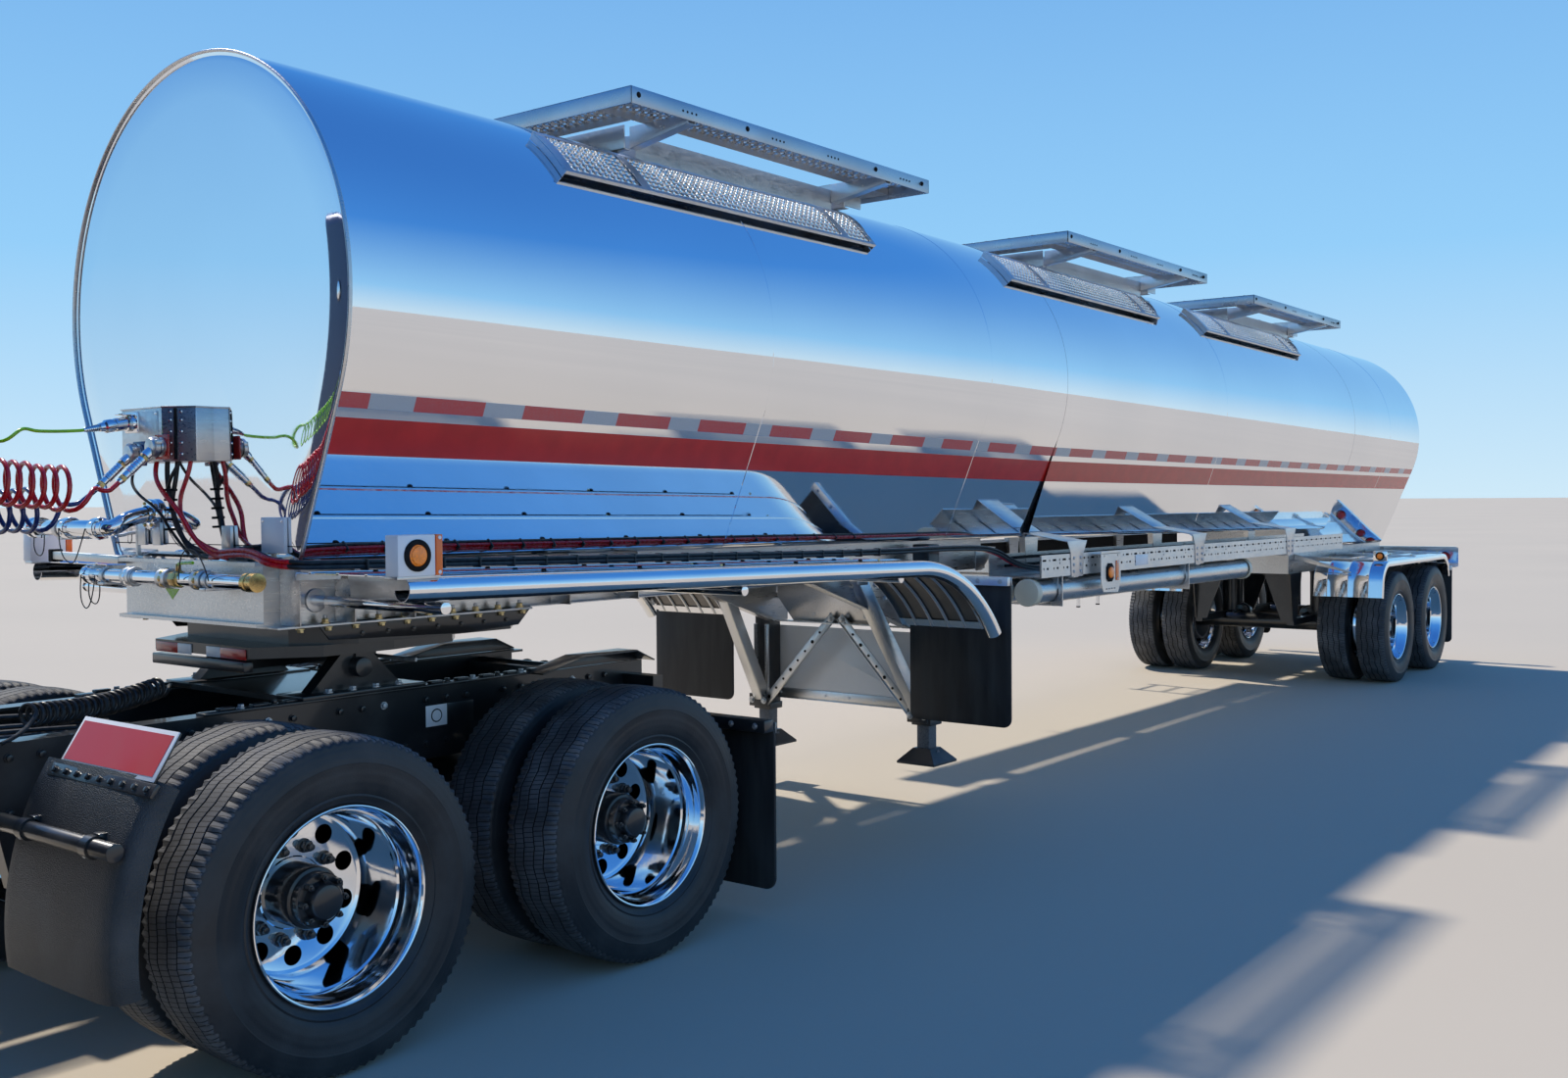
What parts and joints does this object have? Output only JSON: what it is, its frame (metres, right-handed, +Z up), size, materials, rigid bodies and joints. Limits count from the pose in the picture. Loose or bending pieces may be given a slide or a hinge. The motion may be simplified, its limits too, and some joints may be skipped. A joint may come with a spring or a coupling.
{
  "type": "articulated tanker truck",
  "caption": "Conventional sleeper tractor hinged to a polished tank semi-trailer, with turning wheels, steering, opening doors, tilting hood and manhole lids.",
  "frame": {"origin": "on the ground under the middle of the vehicle's length and width", "axes": "+X to the vehicle's left, +Y to its rear, +Z up; it faces -Y"},
  "size_m": [2.86, 19.85, 3.3799],
  "materials": {
    "tyre": "matte",
    "wheel": "polished",
    "chassis": "semi-gloss",
    "cab_paint": "gloss",
    "glass": "clear",
    "chrome": "mirror",
    "seat": "woven",
    "dash": "matte",
    "engine": "cast",
    "lamp": "gloss",
    "black_plastic": "grained",
    "tank": "mirror polish",
    "galvanised": "satin",
    "aluminium": "bright",
    "flap": "matte",
    "leg": "satin",
    "stainless": "satin",
    "hose_red": "gloss",
    "hose_blue": "gloss",
    "hose_green": "gloss"
  },
  "bodies": {
    "tractor": {"tractor_frame": "chassis", "front_axle": "chassis", "drive_axles": "chassis", "fifth_wheel": "chassis", "engine": "engine", "fuel_tanks": "wheel", "cab_shell": "cab_paint", "cab_glass": "glass", "seats": "seat", "dashboard": "dash", "front_bumper": "chrome", "mirrors": "black_plastic", "quarter_fenders": "black_plastic"},
    "hood": {"hood": "cab_paint", "grille": "chrome", "headlamps": "lamp"},
    "door_left": {"door_left": "cab_paint", "door_glass_left": "glass"},
    "door_right": {"door_right": "cab_paint", "door_glass_right": "glass"},
    "knuckle_left": {"knuckle_left": "chassis"},
    "knuckle_right": {"knuckle_right": "chassis"},
    "steer_wheel_left": {"steer_tyre_left": "tyre", "steer_wheel_left": "wheel"},
    "steer_wheel_right": {"steer_tyre_right": "tyre", "steer_wheel_right": "wheel"},
    "trailer": {"tank_shell": "tank", "upper_coupler": "chassis", "hose_tubes": "stainless", "trailer_frame": "galvanised", "landing_gear": "leg", "trailer_fenders": "aluminium", "trailer_mudflaps": "flap", "walkways": "aluminium", "spill_dams": "stainless", "trailer_axles": "chassis", "rear_light_bar": "aluminium", "nose_fittings": "stainless", "air_line_red": "hose_red", "air_line_blue": "hose_blue", "electric_line": "hose_green"},
    "drive_1_wheels_left": {"drive_1_tyres_left": "tyre", "drive_1_wheels_left": "wheel"},
    "drive_1_wheels_right": {"drive_1_tyres_right": "tyre", "drive_1_wheels_right": "wheel"},
    "drive_2_wheels_left": {"drive_2_tyres_left": "tyre", "drive_2_wheels_left": "wheel"},
    "drive_2_wheels_right": {"drive_2_tyres_right": "tyre", "drive_2_wheels_right": "wheel"},
    "trailer_1_wheels_left": {"trailer_1_tyres_left": "tyre", "trailer_1_wheels_left": "wheel"},
    "trailer_1_wheels_right": {"trailer_1_tyres_right": "tyre", "trailer_1_wheels_right": "wheel"},
    "trailer_2_wheels_left": {"trailer_2_tyres_left": "tyre", "trailer_2_wheels_left": "wheel"},
    "trailer_2_wheels_right": {"trailer_2_tyres_right": "tyre", "trailer_2_wheels_right": "wheel"},
    "manhole_lid_front": {"manhole_lid_front": "stainless"},
    "manhole_lid_middle": {"manhole_lid_middle": "stainless"},
    "manhole_lid_rear": {"manhole_lid_rear": "stainless"}
  },
  "joints": [
    {"name": "trailer_pivot", "type": "hinge", "parent": "tractor", "child": "trailer", "pos_m": [0, -2.935, 1.2], "axis": [0, 0, 1], "range_deg": [-90, 90], "deforming": ["air_line_red", "air_line_blue", "electric_line"]},
    {"name": "hood_tilt", "type": "hinge", "parent": "tractor", "child": "hood", "pos_m": [0, -9.765, 0.8], "axis": [1, 0, 0], "range_deg": [0, 60]},
    {"name": "door_left_swing", "type": "hinge", "parent": "tractor", "child": "door_left", "pos_m": [1.159, -7.557, 1.7], "axis": [0, 0, -1], "range_deg": [0, 70]},
    {"name": "door_right_swing", "type": "hinge", "parent": "tractor", "child": "door_right", "pos_m": [-1.159, -7.557, 1.7], "axis": [0, 0, 1], "range_deg": [0, 70]},
    {"name": "steer_left", "type": "hinge", "parent": "tractor", "child": "knuckle_left", "pos_m": [0.86, -8.705, 0.506], "axis": [0, 0, 1], "range_deg": [-35, 35]},
    {"name": "roll_steer_left", "type": "hinge", "parent": "knuckle_left", "child": "steer_wheel_left", "pos_m": [1.01, -8.705, 0.506], "axis": [1, 0, 0], "continuous": true},
    {"name": "steer_right", "type": "hinge", "parent": "tractor", "child": "knuckle_right", "pos_m": [-0.86, -8.705, 0.506], "axis": [0, 0, 1], "range_deg": [-35, 35]},
    {"name": "roll_steer_right", "type": "hinge", "parent": "knuckle_right", "child": "steer_wheel_right", "pos_m": [-1.01, -8.705, 0.506], "axis": [1, 0, 0], "continuous": true},
    {"name": "roll_drive_1_left", "type": "hinge", "parent": "tractor", "child": "drive_1_wheels_left", "pos_m": [0.914, -3.575, 0.506], "axis": [1, 0, 0], "continuous": true},
    {"name": "roll_drive_1_right", "type": "hinge", "parent": "tractor", "child": "drive_1_wheels_right", "pos_m": [-0.914, -3.575, 0.506], "axis": [1, 0, 0], "continuous": true},
    {"name": "roll_drive_2_left", "type": "hinge", "parent": "tractor", "child": "drive_2_wheels_left", "pos_m": [0.914, -2.241, 0.506], "axis": [1, 0, 0], "continuous": true},
    {"name": "roll_drive_2_right", "type": "hinge", "parent": "tractor", "child": "drive_2_wheels_right", "pos_m": [-0.914, -2.241, 0.506], "axis": [1, 0, 0], "continuous": true},
    {"name": "roll_trailer_1_left", "type": "hinge", "parent": "trailer", "child": "trailer_1_wheels_left", "pos_m": [0.914, 7.731, 0.506], "axis": [1, 0, 0], "continuous": true},
    {"name": "roll_trailer_1_right", "type": "hinge", "parent": "trailer", "child": "trailer_1_wheels_right", "pos_m": [-0.914, 7.731, 0.506], "axis": [1, 0, 0], "continuous": true},
    {"name": "roll_trailer_2_left", "type": "hinge", "parent": "trailer", "child": "trailer_2_wheels_left", "pos_m": [0.914, 8.976, 0.506], "axis": [1, 0, 0], "continuous": true},
    {"name": "roll_trailer_2_right", "type": "hinge", "parent": "trailer", "child": "trailer_2_wheels_right", "pos_m": [-0.914, 8.976, 0.506], "axis": [1, 0, 0], "continuous": true},
    {"name": "lid_front", "type": "hinge", "parent": "trailer", "child": "manhole_lid_front", "pos_m": [0, -0.41, 3.35], "axis": [-1, 0, 0], "range_deg": [0, 110]},
    {"name": "lid_middle", "type": "hinge", "parent": "trailer", "child": "manhole_lid_middle", "pos_m": [0, 3.455, 3.31517], "axis": [-1, 0, 0], "range_deg": [0, 110]},
    {"name": "lid_rear", "type": "hinge", "parent": "trailer", "child": "manhole_lid_rear", "pos_m": [0, 6.67, 3.27002], "axis": [-1, 0, 0], "range_deg": [0, 110]}
  ],
  "couplings": [
    {"joint": "steer_right", "follows": "steer_left", "ratio": 1}
  ]
}
